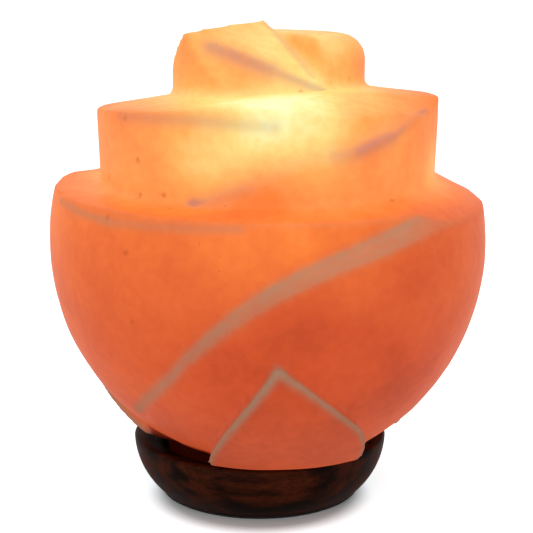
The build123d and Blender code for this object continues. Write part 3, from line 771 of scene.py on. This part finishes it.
@dataclass
class Bulb:
    """Smooth glass and a rolled thread on the screw cap."""

    finishes: Finishes
    steps: int = 72
    wall: float = 0.8 * MM
    neck_share: float = 0.15            # shares of the glass's height, from below
    dome_share: float = 0.6
    shoulder_curve: float = 1.6
    shoulder_steps: int = 24
    dome_steps: int = 20
    cap_wall: float = 0.5 * MM
    thread_pitch: float = 2.8 * MM
    thread_depth: float = 0.42 * MM
    rows_per_turn: int = 14

    def build(self) -> None:
        """Make both pieces."""
        self.glass()
        self.cap()

    def glass(self) -> None:
        """Pear-shaped envelope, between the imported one's neck, widest place and top."""
        low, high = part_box("bulb_glass")
        length, widest = high.z - low.z, high.x
        neck = min(v.co.xy.length for v in frame["nodes"]["bulb_glass"].data.vertices
                   if v.co.z < low.z + MM) + self.wall
        outer = [(neck, low.z), (neck, low.z + self.neck_share * length)]
        for i in range(1, self.shoulder_steps + 1):
            way = i / self.shoulder_steps
            share = self.neck_share + (self.dome_share - self.neck_share) * way
            widening = math.sin(math.pi / 2 * way) ** self.shoulder_curve
            outer.append((neck + (widest - neck) * widening, low.z + share * length))
        for i in range(1, self.dome_steps):
            turn = math.pi / 2 * i / self.dome_steps
            share = self.dome_share + (1 - self.dome_share) * math.sin(turn)
            outer.append((widest * math.cos(turn), low.z + share * length))
        outer.append((0.0, high.z))
        inner = [(max(r - self.wall, 0.0), z - self.wall * (z - low.z) / length) for r, z in outer]
        glass = spun("bulb_glass_smooth", outer + inner[::-1], self.steps)
        settle(glass, "bulb_glass", "clear_glass", Body.BULB, self.finishes)

    def cap(self) -> None:
        """Thin cap whose wall is rolled into a round thread."""
        low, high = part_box("bulb_cap")
        rows = int((high.z - low.z) / self.thread_pitch * self.rows_per_turn)
        mesh = bmesh.new()
        sides = []
        for inset in (0.0, self.cap_wall):
            grid = []
            for row in range(rows + 1):
                z = low.z + (high.z - low.z) * row / rows
                ease = min(1.0, 4 * min(row, rows - row) / rows)
                grid.append([self.thread_point(mesh, high.x, inset, z, ease, step)
                             for step in range(self.steps)])
            sides.append(grid)
        for grid in sides:
            for upper, lower in zip(grid[1:], grid):
                self.bridge(mesh, upper, lower)
        for row in (0, rows):
            self.bridge(mesh, sides[0][row], sides[1][row])
        bmesh.ops.recalc_face_normals(mesh, faces=mesh.faces)
        cap = as_object("bulb_cap_thread", mesh)
        settle(cap, "bulb_cap", "bulb_aluminium", Body.BULB, self.finishes)

    def thread_point(self, mesh: bmesh.types.BMesh, radius: float, inset: float, z: float,
                     ease: float, step: int) -> bmesh.types.BMVert:
        """One vertex of the rolled wall."""
        turn = 2 * math.pi * step / self.steps
        phase = 2 * math.pi * z / self.thread_pitch - turn
        r = radius - inset - ease * self.thread_depth * (0.5 - 0.5 * math.cos(phase))
        return mesh.verts.new((r * math.cos(turn), r * math.sin(turn), z))

    def bridge(self, mesh: bmesh.types.BMesh, one: list, other: list) -> None:
        """Quads between two rings of vertices."""
        for i in range(self.steps):
            j = (i + 1) % self.steps
            mesh.faces.new((one[i], one[j], other[j], other[i]))


class PlainPieces:
    """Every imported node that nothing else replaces, with its finish and smooth shading."""

    def __init__(self, finishes: Finishes, done: set[str]) -> None:
        self.finishes = finishes
        self.done = done

    def build(self) -> None:
        """Copy each node."""
        record = frame["record"]
        slots = {s["node"]: s["material_slot"] for s in record["subparts"]}
        for body in Body:
            for node in record["behaviour"]["bodies"][body.value]:
                if node not in self.done:
                    copy = as_object(f"{node}_finished", merged_copy(node))
                    settle(copy, node, slots[node], body, self.finishes)


# --------------------------------------------------------------------------------------- stage
@dataclass(frozen=True)
class SoftLight:
    """One large soft light: place and size in metres, power in watts."""

    name: str
    place: Point
    size: float
    power: float


@dataclass
class Stage:
    """White ground that keeps the contact shadow inside a painted ring, soft light and the camera.
    """

    ground_size: float = 8.0
    ground_color: float = 0.85
    ground_lift: Color = (0.66, 0.70, 0.71)
    # painted shadow edge: the lift fades out inside this ring about shadow_at
    lift_ring: tuple[float, float] = (31.0 * MM, 41.0 * MM)
    shadow_at: Point = (0.0, -10.0 * MM, 0.0)
    room_light: float = 0.68
    lights: tuple[SoftLight, ...] = (SoftLight("soft_top", (0.1, -0.15, 1.5), 1.4, 6.0),
                                     SoftLight("front_fill", (-0.5, -1.6, 0.9), 1.2, 5.0))
    lens: float = 95.88
    sensor: float = 36.0
    eye: Point = (1.5 * MM, -489.07 * MM, 186.96 * MM)
    target: Point = (1.5 * MM, 0.0, 83.0 * MM)
    shift: tuple[float, float] = (0.0047, -0.0154)
    clip: tuple[float, float] = (0.01, 50.0)

    def build(self) -> None:
        """Make the stage."""
        self.ground()
        self.room()
        for light in self.lights:
            self.lamp(light)
        self.camera()
        bpy.context.scene.view_settings.view_transform = "Standard"

    def ground(self) -> None:
        """Floor: plain for every ray; away from the base the camera sees it lifted to white. Inside
        a ring about shadow_at the lift fades out, a painted shadow edge that leaves the floor
        darker there.
        """
        half = self.ground_size / 2
        mesh = bmesh.new()
        bmesh.ops.create_grid(mesh, x_segments=1, y_segments=1, size=half)
        floor = as_object("floor", mesh)
        look = Look("ground")
        grey = (self.ground_color,) * 3
        away = look.add("ShaderNodeVectorMath", {"operation": "DISTANCE"},
                        {"0": look.place(), "1": self.shadow_at}, "Value")
        by_camera = look.add("ShaderNodeLightPath", output="Is Camera Ray")
        seen = by_camera * away.between(*self.lift_ring)
        look.set(Base_Color=(*grey, 1.0), Roughness=0.9, Specular_IOR_Level=0.0,
                 Emission_Color=look.mix(seen, BLACK, self.ground_lift),
                 Emission_Strength=1.0)
        floor.data.materials.append(look.material)

    def room(self) -> None:
        """White surroundings, dimmer as a light than as a background."""
        world = bpy.data.worlds.new("room")
        world.use_nodes = True
        tree = world.node_tree
        paper = tree.nodes["Background"]
        paper.inputs["Color"].default_value = (1, 1, 1, 1)
        path = tree.nodes.new("ShaderNodeLightPath")
        level = tree.nodes.new("ShaderNodeMapRange")
        level.inputs["To Min"].default_value = self.room_light
        level.inputs["To Max"].default_value = 1.0
        tree.links.new(path.outputs["Is Camera Ray"], level.inputs["Value"])
        tree.links.new(level.outputs["Result"], paper.inputs["Strength"])
        bpy.context.scene.world = world

    def lamp(self, light: SoftLight) -> None:
        """Hang one light so that it looks at the lamp."""
        data = bpy.data.lights.new(light.name, "AREA")
        data.size = light.size
        data.energy = light.power
        self.aimed(light.name, data, light.place)

    def camera(self) -> None:
        """Camera at the photograph's angle."""
        data = bpy.data.cameras.new("camera")
        data.lens, data.sensor_width = self.lens, self.sensor
        data.shift_x, data.shift_y = self.shift
        data.clip_start, data.clip_end = self.clip
        bpy.context.scene.camera = self.aimed("camera", data, self.eye)

    def aimed(self, name: str, data: bpy.types.ID, place: Point) -> bpy.types.Object:
        """Object at a place, looking at the target."""
        made = bpy.data.objects.new(name, data)
        made.location = place
        aim = Vector(self.target) - Vector(place)
        made.rotation_euler = aim.to_track_quat("-Z", "Y").to_euler()
        bpy.context.scene.collection.objects.link(made)
        return made


def main() -> None:
    """Build every piece in order, then the stage."""
    finishes = Finishes()
    SaltRose(finishes).build()
    Bulb(finishes).build()
    PlainPieces(finishes, {"salt_rose", "bulb_glass", "bulb_cap"}).build()
    Stage().build()


if __name__ == "__main__":
    main()
